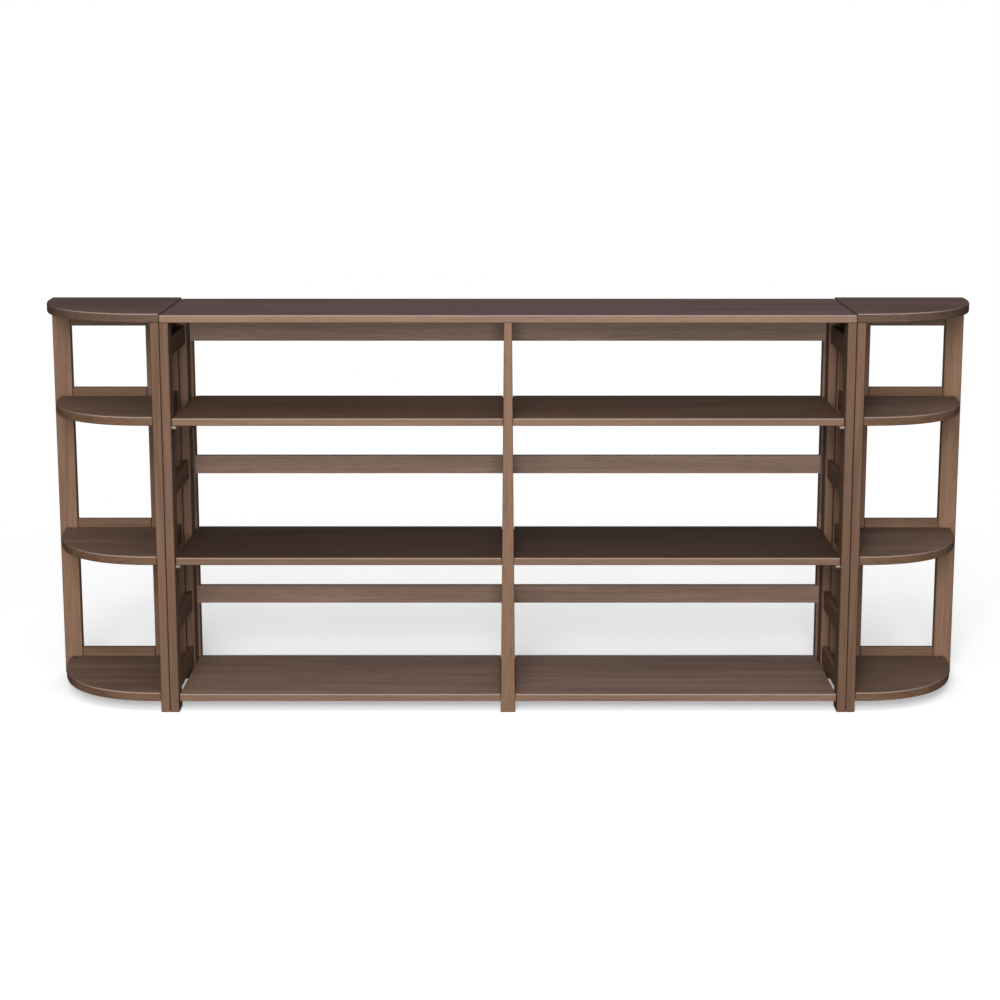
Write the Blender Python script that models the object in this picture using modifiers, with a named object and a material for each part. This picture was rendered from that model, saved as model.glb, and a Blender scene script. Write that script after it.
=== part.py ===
"""Folding bookcase: a two-bay centre unit between two quarter-round corner units.

Every shelf and every top turns up on pivots at its back edge. The side frames are hinged to the
back frame, so an empty unit folds flat once its shelves are up. Sizes are in metres, Z is up,
the front faces -Y, and the origin lies on the floor under the middle of the whole set.
"""
import math

import bmesh
import bpy
from mathutils import Matrix, Vector

# Overall sizes
FRAME_HEIGHT = 0.848
CENTRE_WIDTH = 1.458
DEPTH = 0.305
CORNER_REACH = 0.2875
UNIT_GAP = 0.0008

# Boards
TOP_THICKNESS = 0.016
SHELF_THICKNESS = 0.016
CORNER_THICKNESS = 0.019
BASE_SHELF_HEIGHT = 0.0395
UPPER_BAY_HEIGHT = 0.2037
SHELF_INSET = 0.004
SHELF_END_GAP = 0.001
SHELF_POST_GAP = 0.0004
SHELF_BACK_CLEARANCE = 0.0015
FLOOR_CLEARANCE = 0.002
CORNER_TOP_OVERHANG = 0.001
CORNER_SHELF_INSET = 0.016
ARC_FULLNESS = 2.35
ARC_POINTS = 26

# Side frames, the divider and their rungs
STILE_THICKNESS = 0.019
STILE_WIDTH = 0.043
POST_TOP_WIDTH = 0.0165
POST_FOOT_WIDTH = 0.031
DIVIDER_THICKNESS = 0.014
RUNG_HEIGHT = 0.041
RUNG_THICKNESS = 0.012
BASE_RUNG_RISE = 0.0185
TENON_LENGTH = 0.012

# Back frames
BACK_THICKNESS = 0.020
END_STILE_WIDTH = 0.025
MIDDLE_STILE_WIDTH = 0.018
CORNER_OUTER_WIDTH = 0.040
CORNER_INNER_WIDTH = 0.080
RAIL_HEIGHT = 0.041
RAIL_THICKNESS = 0.012
RAIL_RISE = 0.1475
RAIL_END_INSET = 0.001
CORNER_RAIL_LIP = 0.022

# Pivots and rests of the shelves
PIVOT_SETBACK = 0.0168
SWING_CLEARANCE = 0.0005
PIVOT_PIN_RADIUS = 0.0022
PIVOT_PIN_BITE = 0.012
EAR_THICKNESS = 0.0018
EAR_REACH = 0.006
EAR_HALF_HEIGHT = 0.006
FOOT_PLATE_WIDTH = 0.0052
FOOT_PLATE_THICKNESS = 0.0015
FOOT_PLATE_HALF_HEIGHT = 0.008
EAR_CLEARANCE = 0.0005
NOTCH_REACH = 0.0095
NOTCH_OUT = 0.0008
CORNER_EAR_INSET = 0.029
REST_RADIUS = 0.004
REST_REACH = 0.010
REST_BITE = 0.008
REST_SETBACK = 0.012
DOWEL_RADIUS = 0.0025
DOWEL_SETBACK = 0.036
CLEAT_SETBACK = 0.026
CLEAT_INSET = 0.002
CLEAT_HEIGHT = 0.006

# Hinges
HINGE_CLEARANCE = 0.036
BARREL_RADIUS = 0.003
HINGE_PIN_RADIUS = 0.0014
LEAF_THICKNESS = 0.001
SIDE_LEAF_WIDTH = 0.019
SIDE_BARREL_RADIUS = 0.002
LID_LEAF_WIDTH = 0.014
FRAME_LEAF_WIDTH = 0.026
TOP_HINGE_INSET = 0.004
TOP_KNUCKLES = 7
HINGE_PLAY = 0.0004

# Fits and edges
GAP = 0.0003
EDGE = 0.0015
BOARD_EDGE = 0.002
BOARD_EDGE_STEPS = 2
OVERCUT = 0.002
PIN_SIDES = 8
ROUND_SIDES = 12

# Places worked out from the sizes above
FRONT = -DEPTH / 2
BACK_REAR = DEPTH / 2 - 2 * BARREL_RADIUS - GAP
BACK_FRONT = BACK_REAR - BACK_THICKNESS
FRAME_REAR = BACK_FRONT - 2 * LEAF_THICKNESS - 3 * GAP
REAR_STILE_FRONT = FRAME_REAR - STILE_WIDTH
FRONT_STILE_REAR = FRONT + STILE_WIDTH
PIVOT_Y = BACK_FRONT - PIVOT_SETBACK
CENTRE_HALF = CENTRE_WIDTH / 2
CORNER_INNER = CENTRE_HALF + UNIT_GAP
CORNER_OUTER = CORNER_INNER + CORNER_REACH
FRAME_TOP = FRAME_HEIGHT - GAP
TOP_AXIS_Y = BACK_REAR + GAP + BARREL_RADIUS
LEVELS = ("base", "middle", "upper")
SHELF_PITCH = (FRAME_HEIGHT - BASE_SHELF_HEIGHT - UPPER_BAY_HEIGHT) / (len(LEVELS) - 1)
SHELF_TOPS = {level: BASE_SHELF_HEIGHT + i * SHELF_PITCH for i, level in enumerate(LEVELS)}
SIDES = {"left": -1, "right": 1}

WALNUT = ((0.120, 0.070, 0.048), 0.42, 0.0)
WALNUT_EDGE = ((0.135, 0.080, 0.055), 0.45, 0.0)
STEEL = ((0.55, 0.54, 0.52), 0.30, 1.0)


def clear_scene():
    """Remove every object, so that the script can run again in the same file."""
    for obj in list(bpy.data.objects):
        bpy.data.objects.remove(obj, do_unlink=True)


def new_collection(name):
    """Add a collection to the scene."""
    collection = bpy.data.collections.new(name)
    bpy.context.scene.collection.children.link(collection)
    return collection


def new_material(name, finish):
    """Make a plain material from a finish: colour, roughness and metallic value."""
    colour, roughness, metallic = finish
    material = bpy.data.materials.new(name)
    material.use_nodes = True
    shader = material.node_tree.nodes["Principled BSDF"]
    shader.inputs["Base Color"].default_value = (*colour, 1.0)
    shader.inputs["Roughness"].default_value = roughness
    shader.inputs["Metallic"].default_value = metallic
    return material


def box(x0, x1, y0, y1, z0, z1):
    """Return a box as its lowest and highest corners, whichever way round its sides are given."""
    lowest = Vector((min(x0, x1), min(y0, y1), min(z0, z1)))
    highest = Vector((max(x0, x1), max(y0, y1), max(z0, z1)))
    return lowest, highest


def add_box(mesh, shape):
    """Add a box to a bmesh and return its vertices."""
    lowest, highest = shape
    verts = bmesh.ops.create_cube(mesh, size=1.0)["verts"]
    bmesh.ops.scale(mesh, vec=highest - lowest, verts=verts)
    bmesh.ops.translate(mesh, vec=(lowest + highest) / 2, verts=verts)
    return verts


def add_rod(mesh, start, end, radius, sides):
    """Add a closed round rod between two points to a bmesh."""
    start = Vector(start)
    end = Vector(end)
    run = end - start
    turn = run.to_track_quat("Z", "Y").to_matrix().to_4x4()
    place = Matrix.Translation((start + end) / 2) @ turn
    bmesh.ops.create_cone(mesh, cap_ends=True, segments=sides, radius1=radius, radius2=radius,
                          depth=run.length, matrix=place)


def add_object(name, mesh, origin, collection):
    """Turn a bmesh in world coordinates into an object whose origin is the given point."""
    bmesh.ops.translate(mesh, vec=-Vector(origin), verts=mesh.verts)
    bmesh.ops.recalc_face_normals(mesh, faces=mesh.faces)
    data = bpy.data.meshes.new(name)
    mesh.to_mesh(data)
    mesh.free()
    obj = bpy.data.objects.new(name, data)
    obj.location = origin
    collection.objects.link(obj)
    return obj


def finish_part(obj, finish, edge=0.0, steps=1):
    """Give a part its own material and, where it is wood, softened edges."""
    obj.data.materials.clear()
    obj.data.materials.append(new_material(obj.name, finish))
    if edge > 0:
        bevel = obj.modifiers.new("soft_edges", "BEVEL")
        bevel.width = edge
        bevel.segments = steps
        bevel.limit_method = "ANGLE"
        bevel.angle_limit = math.radians(40)
    return obj


def boards(name, shapes, finish=WALNUT, edge=0.0, origin=None, steps=1):
    """Make one part from one or more boxes, with its origin at their middle or where it turns."""
    mesh = bmesh.new()
    for shape in shapes:
        add_box(mesh, shape)
    if origin is None:
        origin = sum((low + high for low, high in shapes), Vector()) / (2 * len(shapes))
    return finish_part(add_object(name, mesh, origin, PARTS), finish, edge, steps)


def rods(name, runs, radius, finish, sides):
    """Make one part from one or more round rods, each given by its two ends."""
    mesh = bmesh.new()
    for start, end in runs:
        add_rod(mesh, start, end, radius, sides)
    return finish_part(add_object(name, mesh, runs[0][0], PARTS), finish)


def combine(obj, operation, boxes=(), runs=(), radius=0.0, sides=PIN_SIDES):
    """Cut boxes and round holes from a part, or join them to it, with a hidden tool object."""
    mesh = bmesh.new()
    for shape in boxes:
        add_box(mesh, shape)
    for start, end in runs:
        add_rod(mesh, start, end, radius, sides)
    tool = add_object(f"{obj.name}.{operation.lower()}.{len(obj.modifiers)}", mesh, (0, 0, 0), TOOLS)
    tool.hide_render = True
    tool.display_type = "WIRE"
    modifier = obj.modifiers.new(operation.lower(), "BOOLEAN")
    modifier.operation = operation
    modifier.solver = "EXACT"
    modifier.object = tool


def evaluated_mesh(obj):
    """Return the mesh of an object with its modifiers applied, and remove the object."""
    bpy.context.view_layer.update()
    graph = bpy.context.evaluated_depsgraph_get()
    mesh = bpy.data.meshes.new_from_object(obj.evaluated_get(graph))
    bpy.data.objects.remove(obj, do_unlink=True)
    return mesh


def quarter_board(name, inner_x, rear_y, reach_x, reach_y, z0, z1, origin):
    """Make a board with a square inner back corner and a full rounded outer front edge.

    reach_x is signed, so that the same outline serves both corner units.
    """
    outline = [(0.0, 0.0)]
    for i in range(ARC_POINTS + 1):
        angle = math.pi / 2 * i / ARC_POINTS
        across = max(math.cos(angle), 0.0) ** (2 / ARC_FULLNESS)
        forward = math.sin(angle) ** (2 / ARC_FULLNESS)
        outline.append((reach_x * across, -reach_y * forward))
    curve = bpy.data.curves.new(name, "CURVE")
    curve.dimensions = "2D"
    curve.fill_mode = "BOTH"
    curve.extrude = (z1 - z0) / 2
    spline = curve.splines.new("POLY")
    spline.points.add(len(outline) - 1)
    for point, (x, y) in zip(spline.points, outline):
        point.co = (x, y, 0.0, 1.0)
    spline.use_cyclic_u = True
    flat = bpy.data.objects.new(name, curve)
    TOOLS.objects.link(flat)
    flat.location = (inner_x, rear_y, (z0 + z1) / 2)
    bpy.context.view_layer.update()
    place = flat.matrix_world.copy()
    data = evaluated_mesh(flat)
    mesh = bmesh.new()
    mesh.from_mesh(data)
    bmesh.ops.transform(mesh, matrix=place, verts=mesh.verts)
    bmesh.ops.remove_doubles(mesh, verts=mesh.verts, dist=0.00005)
    bmesh.ops.dissolve_limit(mesh, angle_limit=math.radians(1), verts=mesh.verts, edges=mesh.edges)
    return finish_part(add_object(name, mesh, origin, PARTS), WALNUT, BOARD_EDGE, BOARD_EDGE_STEPS)


def half_post(height):
    """Return half the width of the tapered centre post at a height."""
    return (POST_FOOT_WIDTH + (POST_TOP_WIDTH - POST_FOOT_WIDTH) * height / FRAME_TOP) / 2


def post_face(level):
    """Return how far from the middle the post's face is at the underside of a level's shelves."""
    return half_post(SHELF_TOPS[level] - SHELF_THICKNESS)


def make_back_frame():
    """Make the centre unit's back frame: three stiles, and three rails let into their fronts."""
    stiles = {
        "left": (-CENTRE_HALF, -CENTRE_HALF + END_STILE_WIDTH),
        "middle": (-MIDDLE_STILE_WIDTH / 2, MIDDLE_STILE_WIDTH / 2),
        "right": (CENTRE_HALF - END_STILE_WIDTH, CENTRE_HALF),
    }
    rail_end = CENTRE_HALF - RAIL_END_INSET
    notches = []
    for level, top in SHELF_TOPS.items():
        middle = top + RAIL_RISE
        low, high = box(-rail_end, rail_end, BACK_FRONT, BACK_FRONT + RAIL_THICKNESS,
                        middle - RAIL_HEIGHT / 2, middle + RAIL_HEIGHT / 2)
        boards(f"back_rail_{level}", [(low, high)])
        notches.append((low - Vector((OVERCUT, OVERCUT, GAP)), high + Vector((OVERCUT, GAP, GAP))))
    for name, (x0, x1) in stiles.items():
        stile = boards(f"back_stile_{name}", [box(x0, x1, BACK_FRONT, BACK_REAR, 0, FRAME_TOP)], edge=EDGE)
        combine(stile, "DIFFERENCE", notches)


def rung_boxes(across, bars):
    """Return the rungs of a side frame, with the ends that are glued into its stiles."""
    half = RUNG_THICKNESS / 2
    boxes = []
    for middle in bars:
        boxes.append(box(across - half, across + half, FRONT_STILE_REAR - TENON_LENGTH,
                         REAR_STILE_FRONT + TENON_LENGTH, middle - RUNG_HEIGHT / 2,
                         middle + RUNG_HEIGHT / 2))
    return boxes


def cleat_box(x_face, inwards, level):
    """Return a block glued to a front stile under the end of a shelf."""
    top = SHELF_TOPS[level] - SHELF_THICKNESS - GAP
    return box(x_face - inwards * OVERCUT, x_face + inwards * REST_REACH, FRONT + CLEAT_SETBACK,
               FRONT_STILE_REAR - CLEAT_INSET, top - CLEAT_HEIGHT, top)


def make_side_frame(name, x_outer, x_inner, bars, cleat_levels):
    """Make a glued side frame: two stiles, their rungs, and blocks that shelves rest on."""
    inwards = math.copysign(1, x_inner - x_outer)
    front = box(x_outer, x_inner, FRONT, FRONT_STILE_REAR, 0, FRAME_TOP)
    rear = box(x_outer, x_inner, REAR_STILE_FRONT, FRAME_REAR, 0, FRAME_TOP)
    frame = boards(name, [front, rear], edge=EDGE)
    joined = rung_boxes((x_outer + x_inner) / 2, bars)
    joined.extend(cleat_box(x_inner, inwards, level) for level in cleat_levels)
    combine(frame, "UNION", joined)
    return frame


def fit_rest(name, frame, x_start, x_end, level, setback, radius, finish):
    """Bore a frame for a round rest that touches a level's shelf from below, and make the rest."""
    height = SHELF_TOPS[level] - SHELF_THICKNESS - GAP - radius
    start = Vector((x_start, FRONT + setback, height))
    end = Vector((x_end, FRONT + setback, height))
    spare = (end - start).normalized() * GAP
    combine(frame, "DIFFERENCE", runs=[(start - spare, end)], radius=radius + GAP, sides=ROUND_SIDES)
    rods(name, [(start, end)], radius, finish, ROUND_SIDES)


def make_divider(bars):
    """Make the divider: a front post that widens to its foot, a rear stile and rungs."""
    mesh = bmesh.new()
    for vert in add_box(mesh, box(-0.5, 0.5, FRONT, FRONT_STILE_REAR, 0, FRAME_TOP)):
        vert.co.x *= 2 * half_post(vert.co.z)
    half = DIVIDER_THICKNESS / 2
    add_box(mesh, box(-half, half, REAR_STILE_FRONT, FRAME_REAR, 0, FRAME_TOP))
    divider = finish_part(add_object("divider_frame", mesh, (0, FRONT, 0), PARTS), WALNUT, EDGE)
    joined = rung_boxes(0, bars)
    for side in SIDES.values():
        joined.append(cleat_box(side * half_post(0) - side * OVERCUT, side, "base"))
    combine(divider, "UNION", joined)
    for level in ("middle", "upper"):
        reach = post_face(level) + REST_REACH
        fit_rest(f"rest_dowel_{level}", divider, -reach, reach, level, DOWEL_SETBACK, DOWEL_RADIUS,
                 WALNUT_EDGE)


def make_corner_frames(name, side, bars):
    """Make a corner unit's glued back frame and its side frame."""
    inner = side * CORNER_INNER
    outer = side * CORNER_OUTER
    outer_edge = outer - side * CORNER_OUTER_WIDTH
    inner_edge = inner + side * CORNER_INNER_WIDTH
    stiles = [box(outer, outer_edge, BACK_FRONT, BACK_REAR, 0, FRAME_TOP),
              box(inner, inner_edge, BACK_FRONT, BACK_REAR, 0, FRAME_TOP)]
    frame = boards(f"{name}_back_frame", stiles, edge=EDGE)
    rails = []
    for middle in bars:
        rails.append(box(outer_edge + side * TENON_LENGTH, inner_edge - side * TENON_LENGTH,
                         BACK_FRONT + GAP, BACK_FRONT + RAIL_THICKNESS,
                         middle - RAIL_HEIGHT / 2, middle + RAIL_HEIGHT / 2))
    combine(frame, "UNION", rails)
    make_side_frame(f"{name}_side_frame", inner, inner + side * STILE_THICKNESS, bars, LEVELS)


def rear_edge(thickness):
    """Return how far back a turning board may reach without touching the pivots behind it."""
    sweep = PIVOT_SETBACK - GAP - FOOT_PLATE_THICKNESS - SWING_CLEARANCE
    return PIVOT_Y + math.sqrt(sweep ** 2 - (thickness / 2) ** 2)


def shelf_back(z_pivot, thickness):
    """Return how far back a shelf reaches between the back stiles and still clears the floor."""
    sweep = z_pivot - FLOOR_CLEARANCE
    if sweep > thickness:
        return min(BACK_REAR, PIVOT_Y + math.sqrt(sweep ** 2 - (thickness / 2) ** 2))
    return rear_edge(thickness)


def pivot(x_ear, into, z_pivot):
    """Return the shapes of one pivot: its ear, its pin, and the notch and hole for them.

    x_ear is the side of the ear away from the board, and into points along X into the board.
    """
    x_near = x_ear + into * EAR_THICKNESS
    ear = box(x_ear, x_near, PIVOT_Y - EAR_REACH, BACK_FRONT - GAP,
              z_pivot - EAR_HALF_HEIGHT, z_pivot + EAR_HALF_HEIGHT)
    notch = box(x_ear - into * NOTCH_OUT, x_near + into * EAR_CLEARANCE, PIVOT_Y - NOTCH_REACH,
                BACK_FRONT, z_pivot - PIVOT_SETBACK, z_pivot + PIVOT_SETBACK)
    start = Vector((x_ear + into * EAR_THICKNESS / 2, PIVOT_Y, z_pivot))
    end = Vector((x_near + into * (EAR_CLEARANCE + PIVOT_PIN_BITE), PIVOT_Y, z_pivot))
    hole = (start, end + Vector((into * EAR_CLEARANCE, 0, 0)))
    return {"ear": ear, "notch": notch, "pin": (start, end), "hole": hole}


def make_bracket(name, pivots, x0, x1, z_pivot):
    """Make a steel bracket: a foot plate on the back frame, with an ear and a pin for each pivot."""
    plate = box(x0, x1, BACK_FRONT - GAP - FOOT_PLATE_THICKNESS, BACK_FRONT - GAP,
                z_pivot - FOOT_PLATE_HALF_HEIGHT, z_pivot + FOOT_PLATE_HALF_HEIGHT)
    bracket = boards(name, [plate], STEEL)
    combine(bracket, "UNION", [one["ear"] for one in pivots])
    combine(bracket, "UNION", runs=[one["pin"] for one in pivots], radius=PIVOT_PIN_RADIUS)


def hang_on_pivots(shelf, pivots):
    """Cut a shelf's notches and pin holes."""
    combine(shelf, "DIFFERENCE", [one["notch"] for one in pivots])
    combine(shelf, "DIFFERENCE", runs=[one["hole"] for one in pivots], radius=PIVOT_PIN_RADIUS + GAP)


def make_centre_shelves():
    """Make the six shelves of the two bays and the brackets that they turn on."""
    outer_face = CENTRE_HALF - STILE_THICKNESS
    for level, top in SHELF_TOPS.items():
        z_pivot = top - SHELF_THICKNESS / 2
        inner_face = post_face(level)
        reach = inner_face + SHELF_POST_GAP - EAR_CLEARANCE - GAP
        inner_pivots = []
        for name, side in SIDES.items():
            x_outer = side * (outer_face - SHELF_END_GAP)
            x_inner = side * (inner_face + SHELF_POST_GAP)
            back = shelf_back(z_pivot, SHELF_THICKNESS)
            shape = box(x_outer, x_inner, FRONT + SHELF_INSET, back, top - SHELF_THICKNESS, top)
            shelf = boards(f"shelf_{level}_{name}", [shape], edge=BOARD_EDGE, steps=BOARD_EDGE_STEPS,
                           origin=((x_outer + x_inner) / 2, PIVOT_Y, z_pivot))
            x_ear = side * (outer_face - EAR_CLEARANCE)
            outer_pivot = pivot(x_ear, -side, z_pivot)
            inner_pivots.append(pivot(side * (reach - EAR_THICKNESS), side, z_pivot))
            x_plate = x_ear - side * FOOT_PLATE_WIDTH
            corners = []
            for x_end, x_cut in ((x_outer, min(abs(x_plate), CENTRE_HALF - END_STILE_WIDTH)
                                  - SHELF_BACK_CLEARANCE),
                                 (x_inner, max(reach, MIDDLE_STILE_WIDTH / 2) + SHELF_BACK_CLEARANCE)):
                away = math.copysign(OVERCUT, abs(x_end) - x_cut)
                corners.append(box(side * x_cut, x_end + side * away, rear_edge(SHELF_THICKNESS),
                                   back + OVERCUT, top - SHELF_THICKNESS - OVERCUT, top + OVERCUT))
            combine(shelf, "DIFFERENCE", corners)
            hang_on_pivots(shelf, [outer_pivot, inner_pivots[-1]])
            make_bracket(f"shelf_pivot_{level}_{name}", [outer_pivot], x_ear, x_plate, z_pivot)
        make_bracket(f"shelf_pivot_{level}_middle", inner_pivots, -reach, reach, z_pivot)


def make_corner_shelves(name, side):
    """Make the three quarter-round shelves of a corner unit and their brackets."""
    face = side * (CORNER_INNER + STILE_THICKNESS)
    inner_x = face + side * SHELF_END_GAP
    reach_x = side * (CORNER_OUTER - CORNER_SHELF_INSET) - inner_x
    rear_y = rear_edge(CORNER_THICKNESS)
    for level, top in SHELF_TOPS.items():
        under = top - SHELF_THICKNESS
        z_pivot = under + CORNER_THICKNESS / 2
        shelf = quarter_board(f"{name}_shelf_{level}", inner_x, rear_y, reach_x,
                              rear_y - FRONT - SHELF_INSET, under, under + CORNER_THICKNESS,
                              (inner_x + reach_x / 2, PIVOT_Y, z_pivot))
        x_inner = face + side * EAR_CLEARANCE
        x_outer = side * (CORNER_OUTER - CORNER_EAR_INSET)
        pair = [pivot(x_inner, side, z_pivot), pivot(x_outer, -side, z_pivot)]
        hang_on_pivots(shelf, pair)
        make_bracket(f"{name}_pivot_{level}", pair, x_inner, x_outer, z_pivot)


def make_tops():
    """Make the three tops, each with its origin on the axis that it turns about."""
    top = box(-CENTRE_HALF, CENTRE_HALF, FRONT, BACK_REAR, FRAME_HEIGHT, FRAME_HEIGHT + TOP_THICKNESS)
    boards("top_panel", [top], edge=BOARD_EDGE, steps=BOARD_EDGE_STEPS,
           origin=(0, TOP_AXIS_Y, FRAME_HEIGHT))
    make_top_hinge("top", -CENTRE_HALF + TOP_HINGE_INSET, CENTRE_HALF - TOP_HINGE_INSET)
    for name, side in SIDES.items():
        quarter_board(f"corner_{name}_top", side * CORNER_INNER, BACK_REAR,
                      side * (CORNER_REACH + CORNER_TOP_OVERHANG), BACK_REAR - FRONT, FRAME_HEIGHT,
                      FRAME_HEIGHT + CORNER_THICKNESS, (side * CORNER_INNER, TOP_AXIS_Y, FRAME_HEIGHT))
        make_top_hinge(f"corner_{name}_top", side * (CORNER_INNER + TOP_HINGE_INSET),
                       side * (CORNER_OUTER - TOP_HINGE_INSET))


def make_top_hinge(name, x0, x1):
    """Make a strip hinge behind a top: a leaf with the pin on the frame, and a leaf on the top."""
    x0, x1 = min(x0, x1), max(x0, x1)
    step = (x1 - x0) / TOP_KNUCKLES
    y0 = BACK_REAR + GAP
    y1 = y0 + LEAF_THICKNESS
    clear = BARREL_RADIUS + GAP
    axis = Vector((0, TOP_AXIS_Y, FRAME_HEIGHT))
    knuckles = {"frame": [], "lid": []}
    tabs = {"frame": [], "lid": []}
    for i in range(TOP_KNUCKLES):
        kind = "lid" if i % 2 else "frame"
        start = x0 + i * step + GAP
        end = x0 + (i + 1) * step - GAP
        knuckles[kind].append((axis + Vector((start, 0, 0)), axis + Vector((end, 0, 0))))
        rise = clear + OVERCUT if kind == "lid" else -clear - OVERCUT
        tabs[kind].append(box(start, end, y0, y1, FRAME_HEIGHT, FRAME_HEIGHT + rise))
    plates = {"frame": box(x0, x1, y0, y1, FRAME_HEIGHT - FRAME_LEAF_WIDTH, FRAME_HEIGHT - clear),
              "lid": box(x0, x1, y0, y1, FRAME_HEIGHT + clear, FRAME_HEIGHT + LID_LEAF_WIDTH)}
    pin = [(axis + Vector((x0 + 2 * GAP, 0, 0)), axis + Vector((x1 - 2 * GAP, 0, 0)))]
    for kind, plate in plates.items():
        leaf = boards(f"{name}_hinge_{kind}_leaf", [plate], STEEL, origin=axis)
        combine(leaf, "UNION", tabs[kind])
        combine(leaf, "UNION", runs=knuckles[kind], radius=BARREL_RADIUS, sides=ROUND_SIDES)
        if kind == "frame":
            combine(leaf, "UNION", runs=pin, radius=HINGE_PIN_RADIUS)
        else:
            bore = [(pin[0][0] - Vector((OVERCUT, 0, 0)), pin[0][1] + Vector((OVERCUT, 0, 0)))]
            combine(leaf, "DIFFERENCE", runs=bore, radius=HINGE_PIN_RADIUS + HINGE_PLAY)


def make_side_hinge(name, face, outwards, leaf_width):
    """Make the closed strip hinge between a side frame and the back frame.

    face is the inner face of the side frame, and outwards points along X away from its bay.
    """
    axis_x = face - outwards * (SIDE_BARREL_RADIUS + GAP)
    axis_y = BACK_FRONT - GAP - SIDE_BARREL_RADIUS
    low = SHELF_TOPS["middle"] + HINGE_CLEARANCE
    high = SHELF_TOPS["upper"] - SHELF_THICKNESS - HINGE_CLEARANCE
    leaves = box(axis_x, axis_x + outwards * leaf_width, FRAME_REAR + GAP, BACK_FRONT - GAP, low, high)
    hinge = boards(name, [leaves], STEEL)
    barrel = [(Vector((axis_x, axis_y, low - GAP)), Vector((axis_x, axis_y, high + GAP)))]
    combine(hinge, "UNION", runs=barrel, radius=SIDE_BARREL_RADIUS, sides=ROUND_SIDES)


def main():
    """Build the whole set."""
    side_bars = [top + RAIL_RISE for top in SHELF_TOPS.values()]
    side_bars.append(BASE_SHELF_HEIGHT + BASE_RUNG_RISE)
    corner_bars = [top + CORNER_RAIL_LIP - RAIL_HEIGHT / 2 for top in SHELF_TOPS.values()]
    corner_bars.append(FRAME_TOP - EDGE - RAIL_HEIGHT / 2)
    make_back_frame()
    make_divider(side_bars)
    make_side_hinge("divider_hinge", -DIVIDER_THICKNESS / 2, 1, DIVIDER_THICKNESS)
    for name, side in SIDES.items():
        x_outer = side * CENTRE_HALF
        x_inner = x_outer - side * STILE_THICKNESS
        frame = make_side_frame(f"side_{name}_frame", x_outer, x_inner, side_bars, ("base",))
        for level in ("middle", "upper"):
            fit_rest(f"rest_pin_{level}_{name}", frame, x_inner + side * REST_BITE,
                     x_inner - side * REST_REACH, level, REST_SETBACK, REST_RADIUS, STEEL)
        make_side_hinge(f"side_{name}_hinge", x_inner, side, SIDE_LEAF_WIDTH)
        make_corner_frames(f"corner_{name}", side, corner_bars)
        make_side_hinge(f"corner_{name}_side_hinge", side * (CORNER_INNER + STILE_THICKNESS), -side,
                        SIDE_LEAF_WIDTH)
        make_corner_shelves(f"corner_{name}", side)
    make_centre_shelves()
    make_tops()


clear_scene()
PARTS = new_collection("folding_bookcase")
TOOLS = new_collection("cutters")
main()
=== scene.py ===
"""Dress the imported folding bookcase: stained wood, metal fittings, a white stage and the camera."""

import logging
import math
from dataclasses import dataclass, field
from enum import Enum
from typing import Any, Iterable, Sequence, Union

import bmesh
import bpy
from mathutils import Matrix, Vector


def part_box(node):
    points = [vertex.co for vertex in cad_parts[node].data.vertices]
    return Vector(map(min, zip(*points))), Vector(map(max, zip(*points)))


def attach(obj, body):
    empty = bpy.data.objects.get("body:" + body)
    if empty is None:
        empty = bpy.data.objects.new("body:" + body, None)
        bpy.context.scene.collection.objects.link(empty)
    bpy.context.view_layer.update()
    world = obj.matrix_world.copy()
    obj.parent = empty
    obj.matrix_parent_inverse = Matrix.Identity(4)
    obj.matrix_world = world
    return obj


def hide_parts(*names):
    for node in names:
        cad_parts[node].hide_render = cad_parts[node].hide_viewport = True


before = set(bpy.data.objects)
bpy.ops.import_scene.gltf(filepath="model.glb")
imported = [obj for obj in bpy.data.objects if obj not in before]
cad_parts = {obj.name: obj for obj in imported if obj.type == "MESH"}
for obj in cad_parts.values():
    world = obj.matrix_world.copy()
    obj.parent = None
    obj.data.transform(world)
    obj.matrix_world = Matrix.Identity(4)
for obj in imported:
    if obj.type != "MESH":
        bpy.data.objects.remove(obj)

LOG = logging.getLogger("bookcase")

# An edge that turns by more than this many degrees stays crisp.
SHARP_ANGLE = 35.0
SHARP_MEMBER_ANGLE = 10.0

EDGE_STEPS = 3
EDGE_PROFILE = 0.5
TURNED_SIDES = 24
QUARTER_TURN = math.radians(90.0)
WHITE = (1.0, 1.0, 1.0)
BLACK = (0.0, 0.0, 0.0)

Rgb = tuple[float, float, float]
Place = tuple[float, float, float]
Band = tuple[float, float]
Profile = Sequence[tuple[float, float]]
Value = Union["Sock", float, tuple[float, ...]]


class Grain(Enum):
    """The direction that a piece of wood's grain runs in."""

    ALONG_X = 0
    ALONG_Y = 1
    ALONG_Z = 2


class Side(Enum):
    """The two ends of the set, with the sign of X there."""

    LEFT = -1
    RIGHT = 1

    @property
    def label(self) -> str:
        """The side's name as the nodes spell it."""
        return self.name.lower()


class Level(Enum):
    """The shelf levels from the floor up."""

    BASE = 0
    MIDDLE = 1
    UPPER = 2

    @property
    def label(self) -> str:
        """The level's name as the nodes spell it."""
        return self.name.lower()


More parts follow.
